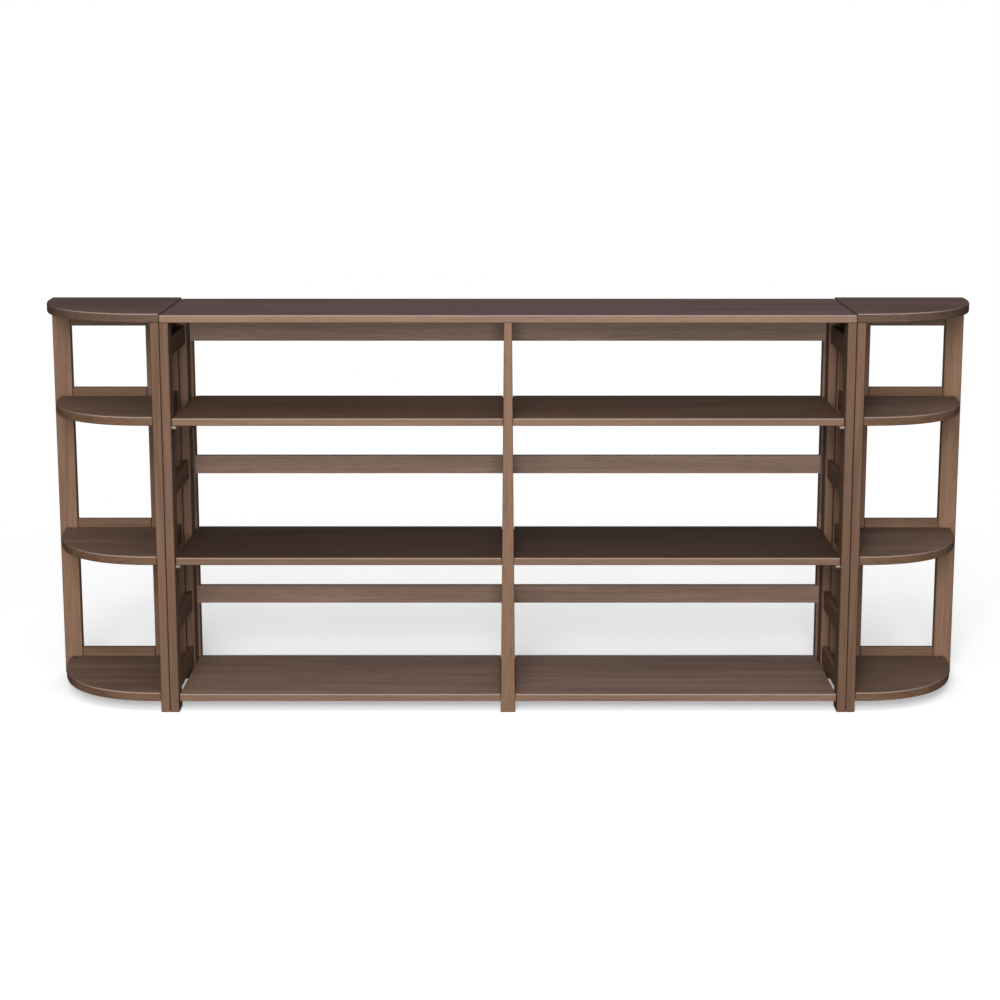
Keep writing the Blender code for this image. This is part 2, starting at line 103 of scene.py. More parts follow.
@dataclass(frozen=True)
class Sizes:
    """The sizes that the solids were made with, in metres."""

    # Places along Y, X and Z
    front: float = -0.1525
    back_front: float = 0.1262
    back_rear: float = 0.1462
    frame_rear: float = 0.1233
    frame_top: float = 0.8477
    centre_half: float = 0.729
    corner_inner: float = 0.7298
    corner_outer: float = 1.0173

    # Members of the frames
    stile_thickness: float = 0.019
    stile_width: float = 0.043
    post_top: float = 0.0165
    post_foot: float = 0.031
    # The post is drawn this much wider on each side, to close the slit beside the shelves.
    post_fit: float = 0.0003
    divider_thickness: float = 0.014
    rung_height: float = 0.041
    rung_thickness: float = 0.012
    rail_thickness: float = 0.012
    corner_outer_width: float = 0.040
    corner_inner_width: float = 0.080

    # Levels
    base_shelf: float = 0.0395
    shelf_pitch: float = 0.3024
    shelf_thickness: float = 0.016
    rail_rise: float = 0.1475
    base_rung_rise: float = 0.0185
    corner_lip: float = 0.022

    # Fittings, fits and edges
    barrel: float = 0.002
    leaf: float = 0.001
    frame_screw_height: float = 0.832
    lid_screw_height: float = 0.8572
    gap: float = 0.0003
    joint: float = 0.0004
    edge: float = 0.0015
    rest_reach: float = 0.010
    cleat_setback: float = 0.026
    cleat_inset: float = 0.002
    cleat_height: float = 0.006

    def shelf_top(self, level: Level) -> float:
        """Return the height of a level's shelf surface in the centre unit."""
        return self.base_shelf + level.value * self.shelf_pitch

    @property
    def stile_rear(self) -> float:
        """The rear of a front stile."""
        return self.front + self.stile_width

    @property
    def rear_stile_front(self) -> float:
        """The front of a rear stile."""
        return self.frame_rear - self.stile_width

    def side_rungs(self) -> list[float]:
        """Return the middle heights of the centre unit's rungs."""
        return [self.shelf_top(level) + self.rail_rise for level in Level] + [
            self.base_shelf + self.base_rung_rise
        ]

    def corner_rails(self) -> list[float]:
        """Return the middle heights of a corner unit's rails and rungs."""
        half = self.rung_height / 2
        return [self.shelf_top(level) + self.corner_lip - half for level in Level] + [
            self.frame_top - self.edge - half
        ]


@dataclass(frozen=True)
class WoodFinish:
    """A stain under satin lacquer, with painted light and shade: faces that look forwards get lighter or
    darker tones than the others, for how the lights fall.

    A band gives the two values between which a mask rises from 0 to 1.
    """

    dark: Rgb
    light: Rgb
    # Tones of faces that look forwards: painted light and shade, not a different stain.
    front_dark: Rgb
    front_light: Rgb
    # The pores' colour, also laid along the arrises as painted shade.
    pore_and_shade: Rgb = (0.030, 0.017, 0.012)
    # Painted highlight colour for the rounded upper front edge of boards.
    lip: Rgb = (0.300, 0.225, 0.190)
    # Painted shade: how much the arrises of members darken.
    arris_shade: float = 0.0
    # Painted highlight: how strongly that edge is lightened.
    lip_light: float = 0.0
    broad_band: Band = (0.30, 0.72)
    streak_band: Band = (0.28, 0.74)
    # Where the painted light or shade of the forward faces takes over.
    front_band: Band = (0.10, 0.55)
    pore_band: Band = (0.57, 0.70)
    arris_band: Band = (0.12, 0.40)
    streak_share: float = 0.5
    pore_depth: float = 0.45
    roughness: float = 0.52
    pore_roughness: float = 0.2
    streak_roughness: float = 0.12
    specular: float = 0.16
    bump: float = 0.12
    streak_relief: float = 0.4
    relief_height: float = 0.0006


@dataclass(frozen=True)
class MetalFinish:
    """A plated or lacquered metal with faint tarnish and fine scratches."""

    bright: Rgb
    dull: Rgb
    roughness: float
    metallic: float
    tarnish_band: Band = (0.35, 0.70)
    tarnish_roughness: float = 0.14
    scratch_roughness: float = 0.12
    bump: float = 0.08
    relief_height: float = 0.0003


@dataclass(frozen=True)
class Layer:
    """A noise that is stretched along one axis, with its features per metre."""

    along: float
    across: float
    detail: float
    distortion: float = 0.0
    offset: float = 0.0


class Cut(Enum):
    """The ways that the wood is used: copies of one stain, each made lighter or darker as painted light and
    shade for how the lights fall on it.
    """

    TOP = WoodFinish(
        (0.080, 0.049, 0.046), (0.155, 0.098, 0.092), (0.156, 0.095, 0.064), (0.240, 0.152, 0.107),
        lip_light=0.85
    )
    SHELF = WoodFinish(
        (0.070, 0.038, 0.023), (0.138, 0.076, 0.047), (0.140, 0.082, 0.052), (0.215, 0.132, 0.086),
        lip_light=0.85
    )
    # Painted shade: the middle shelves darker, for the shadow of the shelf above.
    SHELF_MIDDLE = WoodFinish(
        (0.039, 0.022, 0.015), (0.078, 0.044, 0.030), (0.125, 0.074, 0.048), (0.192, 0.119, 0.080),
        lip_light=0.85
    )
    # Painted light: the base shelves lighter, for the light that reaches the bottom bay.
    SHELF_BASE = WoodFinish(
        (0.126, 0.080, 0.062), (0.236, 0.152, 0.119), (0.140, 0.082, 0.052), (0.215, 0.132, 0.086),
        lip_light=0.85
    )
    CORNER_TOP = WoodFinish(
        (0.080, 0.048, 0.043), (0.155, 0.096, 0.086), (0.068, 0.041, 0.029), (0.128, 0.080, 0.056),
        lip_light=0.85
    )
    CORNER_SHELF = WoodFinish(
        (0.097, 0.059, 0.042), (0.188, 0.116, 0.083), (0.092, 0.051, 0.030), (0.168, 0.096, 0.058),
        lip_light=0.85
    )
    MEMBER = WoodFinish(
        (0.096, 0.053, 0.033), (0.176, 0.102, 0.066), (0.096, 0.053, 0.033), (0.176, 0.102, 0.066),
        arris_shade=0.65
    )
    # Painted light: a lighter copy for the post and the outer stiles, for their well-lit fronts.
    FRONT = WoodFinish(
        (0.138, 0.078, 0.047), (0.238, 0.141, 0.089), (0.138, 0.078, 0.047), (0.238, 0.141, 0.089),
        arris_shade=0.65
    )
    # Painted light: a lighter copy for the rails, lifting them out of the tops' shadow.
    RAIL = WoodFinish(
        (0.150, 0.096, 0.070), (0.262, 0.175, 0.130), (0.150, 0.096, 0.070), (0.262, 0.175, 0.130),
        arris_shade=0.65
    )


NICKEL = MetalFinish((0.46, 0.40, 0.31), (0.36, 0.31, 0.24), 0.55, 0.6)
HINGE_STEEL = MetalFinish((0.120, 0.092, 0.070), (0.080, 0.060, 0.046), 0.45, 0.35)

BROAD_GRAIN = Layer(1.3, 22.0, 3.0, 0.8)
STREAKS = Layer(4.0, 240.0, 4.0, 0.3, 0.3)
PORES = Layer(22.0, 1000.0, 2.0, 0.0, 0.7)
TARNISH = Layer(60.0, 60.0, 3.0, 0.0, 1.0)
SCRATCHES = Layer(90.0, 900.0, 2.0, 0.0, 2.0)
LAYER_ROUGHNESS = 0.6
LAYER_MIDDLE = 0.5
# How far one whole offset moves a layer, so that boards differ.
LAYER_STEP = (3.1, 1.7, 2.3)


class Sock:
    """A shader socket that can be used in sums."""

    def __init__(self, graph: "Graph", socket: bpy.types.NodeSocket) -> None:
        """Wrap an output socket of a graph."""
        self.graph = graph
        self.socket = socket

    def _sum(self, operation: str, first: Value, second: Value) -> "Sock":
        """Return a Math node's result."""
        return self.graph.node("ShaderNodeMath", {0: first, 1: second}, operation=operation)

    def __add__(self, other: Value) -> "Sock":
        """Return self + other."""
        return self._sum("ADD", self, other)

    def __radd__(self, other: Value) -> "Sock":
        """Return other + self."""
        return self._sum("ADD", other, self)

    def __sub__(self, other: Value) -> "Sock":
        """Return self - other."""
        return self._sum("SUBTRACT", self, other)

    def __rsub__(self, other: Value) -> "Sock":
        """Return other - self."""
        return self._sum("SUBTRACT", other, self)

    def __mul__(self, other: Value) -> "Sock":
        """Return self * other."""
        return self._sum("MULTIPLY", self, other)

    def __rmul__(self, other: Value) -> "Sock":
        """Return other * self."""
        return self._sum("MULTIPLY", other, self)

    def __abs__(self) -> "Sock":
        """Return the value without its sign."""
        return self.graph.node("ShaderNodeMath", {0: self}, operation="ABSOLUTE")

    def ramp(self, low: float, high: float) -> "Sock":
        """Return a smooth step.

        Args:
            low: the value below which the step is 0.
            high: the value above which the step is 1.

        Returns:
            The step.
        """
        return self.graph.node(
            "ShaderNodeMapRange",
            {"Value": self, "From Min": low, "From Max": high},
            interpolation_type="SMOOTHSTEP",
        )


class Graph:
    """A material's node tree, built from one method for every kind of node."""

    # Places of the colours among a Mix node's inputs and outputs
    FIRST_COLOUR = 6
    SECOND_COLOUR = 7
    MIXED_COLOUR = 2

    def __init__(self, name: str) -> None:
        """Start a material with one Principled shader.

        Args:
            name: the material's name.
        """
        self.material = bpy.data.materials.new(name)
        self.material.use_nodes = True
        self.tree = self.material.node_tree
        self.shader = self.tree.nodes["Principled BSDF"]

    def node(
        self,
        kind: str,
        inputs: dict[Union[str, int], Value],
        out: Union[str, int] = 0,
        **settings: Any,
    ) -> Sock:
        """Add a node.

        Args:
            kind: the node's type.
            inputs: sockets or constants by input name or place.
            out: the output to return.
            settings: properties of the node.

        Returns:
            The chosen output.
        """
        made = self.tree.nodes.new(kind)
        for key, value in settings.items():
            setattr(made, key, value)
        for key, value in inputs.items():
            self.join(made.inputs[key], value)
        return Sock(self, made.outputs[out])

    def join(self, target: bpy.types.NodeSocket, value: Value) -> None:
        """Link a socket or set a constant.

        Args:
            target: the input that takes the value.
            value: a socket to link, or the constant.
        """
        if isinstance(value, Sock):
            self.tree.links.new(value.socket, target)
        else:
            target.default_value = value

    def mix(self, factor: Value, first: Value, second: Value) -> Sock:
        """Mix two colours.

        Args:
            factor: the share of the second colour.
            first: a colour.
            second: another colour.

        Returns:
            The mixed colour.
        """
        return self.node(
            "ShaderNodeMix",
            {"Factor": factor, self.FIRST_COLOUR: first, self.SECOND_COLOUR: second},
            out=self.MIXED_COLOUR,
            data_type="RGBA",
        )

    def surface(self, **values: Value) -> None:
        """Join values to the shader's inputs, named with underscores for spaces."""
        for key, value in values.items():
            self.join(self.shader.inputs[key.replace("_", " ")], value)


def colour(rgb: Sequence[float]) -> tuple[float, float, float, float]:
    """Return a colour with full alpha."""
    return (rgb[0], rgb[1], rgb[2], 1.0)


@dataclass
class Finishes:
    """Makes each material once and hands it out again when it is asked for."""

    made: dict[tuple[str, int, int], bpy.types.Material] = field(default_factory=dict)
    boards: int = 0
    runs: int = 7

    def noise(self, graph: Graph, grain: Grain, layer: Layer, seed: float = 0.0) -> Sock:
        """Return a layer of noise, stretched along the grain.

        Args:
            graph: the material being made.
            grain: the direction of the grain.
            layer: how fine the noise is each way.
            seed: which run of grain it is.

        Returns:
            The noise, from about 0 to 1.
        """
        scale = [layer.across] * len(Grain)
        scale[grain.value] = layer.along
        shift = tuple((seed + layer.offset) * step for step in LAYER_STEP)
        place = graph.node("ShaderNodeTexCoord", {}, out="Object")
        vector = graph.node("ShaderNodeMapping", {"Vector": place, "Location": shift, "Scale": tuple(scale)})
        shape = {"Scale": 1.0, "Detail": layer.detail, "Distortion": layer.distortion}
        return graph.node("ShaderNodeTexNoise", {"Vector": vector, "Roughness": LAYER_ROUGHNESS, **shape})

    def plank(self, grain: Grain, cut: Cut = Cut.MEMBER) -> bpy.types.Material:
        """Return a stained wood with one of a few runs of grain, taken in turn.

        Args:
            grain: the direction of the grain.
            cut: how the wood is used, which picks its copy of the stain with painted light and shade.

        Returns:
            The material.
        """
        self.boards = (self.boards + 1) % self.runs
        key = (cut.name.lower(), grain.value, self.boards)
        if key not in self.made:
            self.made[key] = self.make_wood(grain, cut, self.boards)
        return self.made[key]

    def make_wood(self, grain: Grain, cut: Cut, seed: int) -> bpy.types.Material:
        """Build a stained wood material, with painted light and shade on its faces and edges.

        Args:
            grain: the direction of the grain.
            cut: how the wood is used, which picks its copy of the stain with painted light and shade.
            seed: which run of grain it is.

        Returns:
            The new material.
        """
        graph = Graph(f"walnut_{cut.name.lower()}_{grain.name.lower()}_{seed}")
        wood = cut.value
        broad = self.noise(graph, grain, BROAD_GRAIN, seed)
        streak = self.noise(graph, grain, STREAKS, seed)
        fine = self.noise(graph, grain, PORES, seed)
        streaks = streak.ramp(*wood.streak_band)
        tone = broad.ramp(*wood.broad_band) * (1.0 - wood.streak_share) + streaks * wood.streak_share
        face = graph.mix(tone, colour(wood.dark), colour(wood.light))
        # Painted light and shade: forward-facing faces get their own lighter or darker tones.
        front = graph.mix(tone, colour(wood.front_dark), colour(wood.front_light))
        normal = graph.node("ShaderNodeNewGeometry", {}, out="Normal")
        local = graph.node("ShaderNodeVectorTransform", {"Vector": normal},
                           vector_type="NORMAL", convert_from="WORLD", convert_to="OBJECT")
        across, backwards, upwards = (
            graph.node("ShaderNodeSeparateXYZ", {"Vector": local}, out=axis) for axis in "XYZ"
        )
        base = graph.mix((backwards * -1.0).ramp(*wood.front_band), face, front)
        pores = fine.ramp(*wood.pore_band) * wood.pore_depth
        base = graph.mix(pores, base, colour(wood.pore_and_shade))
        # Painted shade: darken the arrises of members, so that seams and edges read as dark lines.
        if wood.arris_shade:
            arris = abs(across * backwards).ramp(*wood.arris_band)
            base = graph.mix(arris * wood.arris_shade, base, colour(wood.pore_and_shade))
        # Painted highlight: lighten the rounded upper front edge of boards, where the lights catch it.
        if wood.lip_light:
            lip = (upwards * backwards * -1.0).ramp(*wood.arris_band)
            base = graph.mix(lip * wood.lip_light, base, colour(wood.lip))
        uneven = pores * wood.pore_roughness + (streak - LAYER_MIDDLE) * wood.streak_roughness
        rough = wood.roughness + uneven
        relief = fine * (1.0 - wood.streak_relief) + streak * wood.streak_relief
        bump = graph.node("ShaderNodeBump",
                          {"Height": relief, "Strength": wood.bump, "Distance": wood.relief_height})
        graph.surface(Base_Color=base, Roughness=rough, Normal=bump, Specular_IOR_Level=wood.specular)
        return graph.material

    def metal(self, name: str, finish: MetalFinish) -> bpy.types.Material:
        """Return a metal, made when it is first asked for.

        Args:
            name: the material's name.
            finish: its tones and roughness.

        Returns:
            The material.
        """
        key = (name, 0, 0)
        if key in self.made:
            return self.made[key]
        graph = Graph(name)
        tarnish = self.noise(graph, Grain.ALONG_X, TARNISH)
        scratch = self.noise(graph, Grain.ALONG_Z, SCRATCHES)
        base = graph.mix(tarnish.ramp(*finish.tarnish_band), colour(finish.bright), colour(finish.dull))
        uneven = tarnish * finish.tarnish_roughness + (scratch - LAYER_MIDDLE) * finish.scratch_roughness
        rough = finish.roughness + uneven
        bump = graph.node("ShaderNodeBump",
                          {"Height": scratch, "Strength": finish.bump, "Distance": finish.relief_height})
        graph.surface(Base_Color=base, Roughness=rough, Metallic=finish.metallic, Normal=bump)
        self.made[key] = graph.material
        return graph.material


class Shapes:
    """Builds meshes in the shared frame."""

    @staticmethod
    def finish(
        name: str,
        mesh: bmesh.types.BMesh,
        material: bpy.types.Material,
        sharp: float = SHARP_ANGLE,
    ) -> bpy.types.Object:
        """Turn a bmesh into a smoothed object with a material.

        Args:
            name: the object's name.
            mesh: the shape, which is used up.
            material: its finish.
            sharp: the angle in degrees past which an edge stays crisp.

        Returns:
            The new object, linked to the scene.
        """
        bmesh.ops.recalc_face_normals(mesh, faces=mesh.faces)
        data = bpy.data.meshes.new(name)
        mesh.to_mesh(data)
        mesh.free()
        data.polygons.foreach_set("use_smooth", [True] * len(data.polygons))
        data.set_sharp_from_angle(angle=math.radians(sharp))
        data.materials.append(material)
        obj = bpy.data.objects.new(name, data)
        bpy.context.scene.collection.objects.link(obj)
        return obj

    @staticmethod
    def add_box(
        mesh: bmesh.types.BMesh, low: Sequence[float], high: Sequence[float]
    ) -> list[bmesh.types.BMVert]:
        """Add a box with sharp edges.

        Args:
            mesh: where it goes.
            low: one corner.
            high: the opposite corner.

        Returns:
            The box's vertices.
        """
        lowest = Vector(map(min, low, high))
        highest = Vector(map(max, low, high))
        made = bmesh.ops.create_cube(mesh, size=1.0)["verts"]
        bmesh.ops.scale(mesh, vec=highest - lowest, verts=made)
        bmesh.ops.translate(mesh, vec=(lowest + highest) / 2, verts=made)
        return made

    @staticmethod
    def round_edges(mesh: bmesh.types.BMesh, radius: float) -> None:
        """Round every edge of a mesh.

        Args:
            mesh: the shape.
            radius: the radius of its edges.
        """
        geometry = list(mesh.verts) + list(mesh.edges)
        bmesh.ops.bevel(mesh, geom=geometry, offset=radius, segments=EDGE_STEPS, profile=EDGE_PROFILE,
                        affect="EDGES")

    @staticmethod
    def add_turned(
        mesh: bmesh.types.BMesh, profile: Profile, place: Matrix, sides: int = TURNED_SIDES
    ) -> None:
        """Add a turned form with a flat face at each end, the last face being the upper one.

        Args:
            mesh: where it goes.
            profile: the radius and height of each ring.
            place: puts the form, which stands along Z, in the shared frame.
            sides: corners in each ring.
        """
        rings = []
        for radius, height in profile:
            ring = []
            for corner in range(sides):
                angle = 2 * math.pi * corner / sides
                spot = Vector((radius * math.cos(angle), radius * math.sin(angle), height))
                ring.append(mesh.verts.new(place @ spot))
            rings.append(ring)
        for lower, upper in zip(rings, rings[1:]):
            for corner in range(sides):
                following = (corner + 1) % sides
                mesh.faces.new((lower[corner], lower[following], upper[following], upper[corner]))
        mesh.faces.new(list(reversed(rings[0])))
        mesh.faces.new(rings[-1])


@dataclass
class Assembly:
    """What every sub-assembly shares: the sizes, the finishes and the body it rides on."""

    sizes: Sizes
    finishes: Finishes
    body: str

    def keep(
        self, obj: bpy.types.Object, nodes: Iterable[str] = (), slot: str = "walnut"
    ) -> bpy.types.Object:
        """Let a piece ride on this assembly's body and stand for solids.

        Args:
            obj: the piece.
            nodes: the solids that it stands for.
            slot: not used.

        Returns:
            The same piece.
        """
        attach(obj, self.body)
        names = list(nodes)
        if names:
            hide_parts(*names)
        LOG.info("made %s on %s", obj.name, self.body)
        return obj

    def member(
        self,
        name: str,
        low: Sequence[float],
        high: Sequence[float],
        grain: Grain,
        nodes: Iterable[str] = (),
        cut: Cut = Cut.MEMBER,
    ) -> bpy.types.Object:
        """Make one wooden member with softened edges.

        Args:
            name: the piece's name.
            low: one corner of its box.
            high: the opposite corner.
            grain: the direction of its grain.
            nodes: the solids that it stands for.
            cut: how the wood is used, which picks its copy of the stain with painted light and shade.

        Returns:
            The new piece.
        """
        mesh = bmesh.new()
        Shapes.add_box(mesh, low, high)
        Shapes.round_edges(mesh, self.sizes.edge)
        wood = self.finishes.plank(grain, cut)
        return self.keep(Shapes.finish(name, mesh, wood, SHARP_MEMBER_ANGLE), nodes)


@dataclass
class Ladder(Assembly):
    """What the side frames and the divider share: rungs between stiles, and blocks for the shelves."""

    name: str
    node: str
    rungs: list[float]

    def add_rungs(self, across: float) -> None:
        """Make the rungs, each a hair short of the stiles so that the joints show.

        Args:
            across: the middle of the frame's thickness along X.
        """
        sizes = self.sizes
        half = sizes.rung_thickness / 2
        rise = sizes.rung_height / 2
        for number, middle in enumerate(self.rungs):
            low = (across - half, sizes.stile_rear + sizes.joint, middle - rise)
            high = (across + half, sizes.rear_stile_front - sizes.joint, middle + rise)
            self.member(f"{self.name}.rung_{number}", low, high, Grain.ALONG_Y)

    def add_cleats(self, places: Sequence[tuple[float, float, Level]]) -> None:
        """Make the shelf blocks.

        Args:
            places: for each block, the face it is on, the sign of X away from it, and its level.
        """
        sizes = self.sizes
        for number, (face, inwards, level) in enumerate(places):
            top = sizes.shelf_top(level) - sizes.shelf_thickness - sizes.gap
            front = sizes.front + sizes.cleat_setback
            rear = sizes.stile_rear - sizes.cleat_inset
            low = (face + inwards * sizes.joint, front, top - sizes.cleat_height)
            high = (face + inwards * sizes.rest_reach, rear, top)
            self.member(f"{self.name}.shelf_block_{number}", low, high, Grain.ALONG_Y)


@dataclass
class SideFrame(Ladder):
    """A side frame: two stiles, the rungs between them, and blocks that shelves rest on."""

    x_outer: float
    x_inner: float
    cleats: tuple[Level, ...]

    def build(self) -> None:
        """Make the members in place of the glued-up solid."""
        sizes = self.sizes
        self.member(f"{self.name}.front_stile", (self.x_outer, sizes.front, 0.0),
                    (self.x_inner, sizes.stile_rear, sizes.frame_top), Grain.ALONG_Z, [self.node])
        self.member(f"{self.name}.rear_stile", (self.x_outer, sizes.rear_stile_front, 0.0),
                    (self.x_inner, sizes.frame_rear, sizes.frame_top), Grain.ALONG_Z)
        self.add_rungs((self.x_outer + self.x_inner) / 2)
        inwards = math.copysign(1.0, self.x_inner - self.x_outer)
        self.add_cleats([(self.x_inner, inwards, level) for level in self.cleats])


@dataclass
class Divider(Ladder):
    """The divider, whose front post widens towards its foot."""

    def half(self, height: float) -> float:
        """Work out half the front post's width.

        Args:
            height: how far above the floor it is taken.

        Returns:
            Half the width there.
        """
        sizes = self.sizes
        taper = (sizes.post_top - sizes.post_foot) / sizes.frame_top
        return (sizes.post_foot + taper * height) / 2 + sizes.post_fit

    def build(self) -> None:
        """Make the tapered post, the rear stile, the rungs and the blocks."""
        sizes = self.sizes
        mesh = bmesh.new()
        for vert in Shapes.add_box(mesh, (-1.0, sizes.front, 0.0), (1.0, sizes.stile_rear, sizes.frame_top)):
            vert.co.x *= self.half(vert.co.z)
        Shapes.round_edges(mesh, sizes.edge)
        wood = self.finishes.plank(Grain.ALONG_Z, Cut.FRONT)
        post = Shapes.finish(f"{self.name}.front_post", mesh, wood, SHARP_MEMBER_ANGLE)
        self.keep(post, [self.node])
        half = sizes.divider_thickness / 2
        self.member(f"{self.name}.rear_stile", (-half, sizes.rear_stile_front, 0.0),
                    (half, sizes.frame_rear, sizes.frame_top), Grain.ALONG_Z)
        self.add_rungs(0.0)
        height = sizes.shelf_top(Level.BASE) - sizes.shelf_thickness - sizes.cleat_height
        face = self.half(height)
        self.add_cleats([(side.value * face, float(side.value), Level.BASE) for side in Side])


@dataclass
class CornerBack(Assembly):
    """A corner unit's back frame: two stiles and four rails."""

    side: Side

    def build(self) -> None:
        """Make the members in place of the glued-up solid."""
        sizes = self.sizes
        sign = self.side.value
        name = f"corner_{self.side.label}"
        outer = (sign * sizes.corner_outer, sign * (sizes.corner_outer - sizes.corner_outer_width))
        inner = (sign * sizes.corner_inner, sign * (sizes.corner_inner + sizes.corner_inner_width))
        self.member(f"{name}.outer_back_stile", (outer[0], sizes.back_front, 0.0),
                    (outer[1], sizes.back_rear, sizes.frame_top), Grain.ALONG_Z,
                    [f"{name}_back_frame"], Cut.FRONT)
        self.member(f"{name}.inner_back_stile", (inner[0], sizes.back_front, 0.0),
                    (inner[1], sizes.back_rear, sizes.frame_top), Grain.ALONG_Z)
        half = sizes.rung_height / 2
        for number, middle in enumerate(sizes.corner_rails()):
            low = (outer[1] - sign * sizes.joint, sizes.back_front + sizes.gap, middle - half)
            high = (inner[1] + sign * sizes.joint, sizes.back_front + sizes.rail_thickness, middle + half)
            self.member(f"{name}.back_rail_{number}", low, high, Grain.ALONG_X)


@dataclass
class StripHinge(Assembly):
    """The closed strip hinge between a side frame and a back frame."""

    node: str
    outwards: int
    knuckles: int = 9
    rim: float = 0.0004
    knuckle_gap: float = 0.0002
    pin_share: float = 0.55
    pin_tip_share: float = 0.5
    pin_tip: float = 0.0003
    leaf_start_share: float = 0.4
    leaf_inset: float = 0.0006

    def build(self) -> None:
        """Make two leaves, a row of knuckles and the pin's blunt ends."""
        sizes = self.sizes
        low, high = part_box(self.node)
        x = low.x + sizes.barrel if self.outwards > 0 else high.x - sizes.barrel
        edge = high.x if self.outwards > 0 else low.x
        place = Matrix.Translation((x, high.y - sizes.barrel, 0.0))
        mesh = bmesh.new()
        self.add_knuckles(mesh, place, low.z, high.z)
        pin = sizes.barrel * self.pin_share
        tip = pin * self.pin_tip_share
        profile = [(tip, low.z), (pin, low.z + self.pin_tip), (pin, high.z - self.pin_tip), (tip, high.z)]
        Shapes.add_turned(mesh, profile, place)
        rear = sizes.back_front - sizes.gap
        start = x + self.outwards * sizes.barrel * self.leaf_start_share
        for near in (rear - sizes.leaf, rear - 2 * sizes.leaf - sizes.gap):
            Shapes.add_box(mesh, (start, near, low.z + self.leaf_inset),
                           (edge, near + sizes.leaf, high.z - self.leaf_inset))
        steel = self.finishes.metal("hinge_steel", HINGE_STEEL)
        self.keep(Shapes.finish(f"{self.node}.strip", mesh, steel), [self.node], "steel")

    def add_knuckles(self, mesh: bmesh.types.BMesh, place: Matrix, bottom: float, top: float) -> None:
        """Add the row of knuckles, with a fine gap between each two.

        Args:
            mesh: where they go.
            place: puts the hinge's axis in the shared frame.
            bottom: the height of the lowest knuckle's foot.
            top: the height of the highest knuckle's head.
        """
        radius = self.sizes.barrel
        step = (top - bottom) / self.knuckles
        for number in range(self.knuckles):
            foot = bottom + number * step + self.knuckle_gap
            head = bottom + (number + 1) * step - self.knuckle_gap
            profile = [(radius - self.rim, foot), (radius, foot + self.rim),
                       (radius, head - self.rim), (radius - self.rim, head)]
            Shapes.add_turned(mesh, profile, place)


@dataclass
class RestPin(Assembly):
    """A plated peg with a domed end that a shelf's front rests on."""

    node: str
    inwards: int
    dome: float = 0.0016
    dome_steps: int = 5

    def build(self) -> None:
        """Turn the peg along X from inside the stile out to its dome."""
        low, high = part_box(self.node)
        radius = (high.z - low.z) / 2
        start = low.x if self.inwards > 0 else high.x
        neck = high.x - low.x - self.dome
        place = Matrix.Translation((start, (low.y + high.y) / 2, (low.z + high.z) / 2))
        place = place @ Matrix.Rotation(QUARTER_TURN * self.inwards, 4, "Y")
        profile = [(radius, 0.0), (radius, neck)]
        for step in range(1, self.dome_steps):
            angle = QUARTER_TURN * step / self.dome_steps
            profile.append((radius * math.cos(angle), neck + self.dome * math.sin(angle)))
        mesh = bmesh.new()
        Shapes.add_turned(mesh, profile, place)
        nickel = self.finishes.metal("nickel", NICKEL)
        self.keep(Shapes.finish(f"{self.node}.peg", mesh, nickel), [self.node], "steel")


@dataclass
class LeafScrews(Assembly):
    """Round-headed screws along a hinge leaf that faces the back."""

    node: str
    count: int
    height: float
    head: Profile = (
        (0.0030, -0.0003), (0.0030, 0.0003), (0.0024, 0.0009), (0.0012, 0.0013), (0.0004, 0.0014)
    )
    head_sides: int = 16

    def build(self) -> None:
        """Make a row of evenly spaced heads on the leaf's rear face."""
        low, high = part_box(self.node)
        rear = self.sizes.back_rear + self.sizes.gap + self.sizes.leaf
        pitch = (high.x - low.x) / self.count
        turn = Matrix.Rotation(-QUARTER_TURN, 4, "X")
        mesh = bmesh.new()
        for number in range(self.count):
            x = low.x + pitch * (number + 0.5)
            place = Matrix.Translation((x, rear, self.height)) @ turn
            Shapes.add_turned(mesh, self.head, place, self.head_sides)
        steel = self.finishes.metal("hinge_steel", HINGE_STEEL)
        self.keep(Shapes.finish(f"{self.node}.screws", mesh, steel), slot="steel")


@dataclass(frozen=True)
class Lamp:
    """A square area light: its place, the point it faces, its side in metres and its power in watts."""

    name: str
    spot: Place
    aim: Place
    size: float
    power: float
    glossy: bool = True


